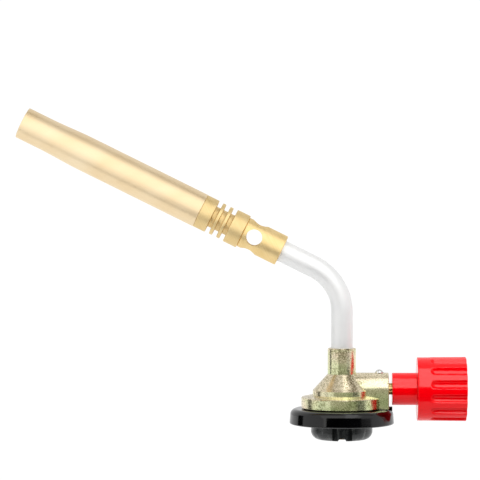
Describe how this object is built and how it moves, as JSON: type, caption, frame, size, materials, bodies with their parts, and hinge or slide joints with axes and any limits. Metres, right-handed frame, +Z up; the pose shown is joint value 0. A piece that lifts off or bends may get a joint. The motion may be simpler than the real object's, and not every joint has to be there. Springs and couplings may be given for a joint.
{
  "type": "gas torch head",
  "caption": "Bent-neck brass gas torch head with finned burner, needle valve, fluted knob and lugged base that locks onto a bayonet gas canister.",
  "frame": {"origin": "centre of the inlet socket's mouth, level with the foot of the bayonet lugs", "axes": "+Z up along the canister's axis, +X along the valve spindle towards the knob; the burner leans towards -X and +Z; XZ is the plane of symmetry"},
  "size_m": [0.206, 0.0478, 0.1513],
  "materials": {
    "collar_nylon": "satin dark grey",
    "socket_brass": "turned",
    "seal_rubber": "matte",
    "sintered_bronze": "sintered",
    "disc_plastic": "glossy black",
    "gasket_fibre": "fibre",
    "screw_steel": "zinc plated",
    "body_zinc": "yellow passivated zinc",
    "seat_plastic": "satin",
    "spindle_brass": "turned and splined",
    "pin_steel": "polished",
    "knob_plastic": "glossy red",
    "tube_aluminium": "drawn, satin",
    "mixer_brass": "satin turned",
    "connector_brass": "satin turned",
    "flame_tube_brass": "polished"
  },
  "bodies": {
    "torch_body": {"bayonet_collar": "collar_nylon", "inlet_socket": "socket_brass", "socket_seal": "seal_rubber", "inlet_filter": "sintered_bronze", "base_disc": "disc_plastic", "base_gasket": "gasket_fibre", "base_screws": "screw_steel", "valve_body": "body_zinc", "valve_seat": "seat_plastic", "gland_bush": "socket_brass", "retaining_pin": "pin_steel", "tube_washer": "gasket_fibre", "gas_tube": "tube_aluminium", "jet_holder": "socket_brass", "jet_filter": "sintered_bronze", "gas_jet": "socket_brass", "mixer_sleeve": "mixer_brass", "finned_connector": "connector_brass", "flame_tube": "flame_tube_brass", "flame_holder": "socket_brass"},
    "spindle_seal": {"spindle_o_ring": "seal_rubber"},
    "spindle": {"valve_spindle": "spindle_brass", "control_knob": "knob_plastic", "knob_screw": "screw_steel", "knob_cap": "knob_plastic"}
  },
  "joints": [
    {"name": "spindle_travel", "type": "slide", "parent": "torch_body", "child": "spindle_seal", "axis": [1, 0, 0], "range_m": [0, 0.00113]},
    {"name": "knob_turn", "type": "hinge", "parent": "spindle_seal", "child": "spindle", "pos_m": [0, 0, 0.0229], "axis": [1, 0, 0], "range_deg": [0, 540]}
  ],
  "couplings": [
    {"joint": "knob_turn", "follows": "spindle_travel", "rad_per_m": 8377.6}
  ]
}
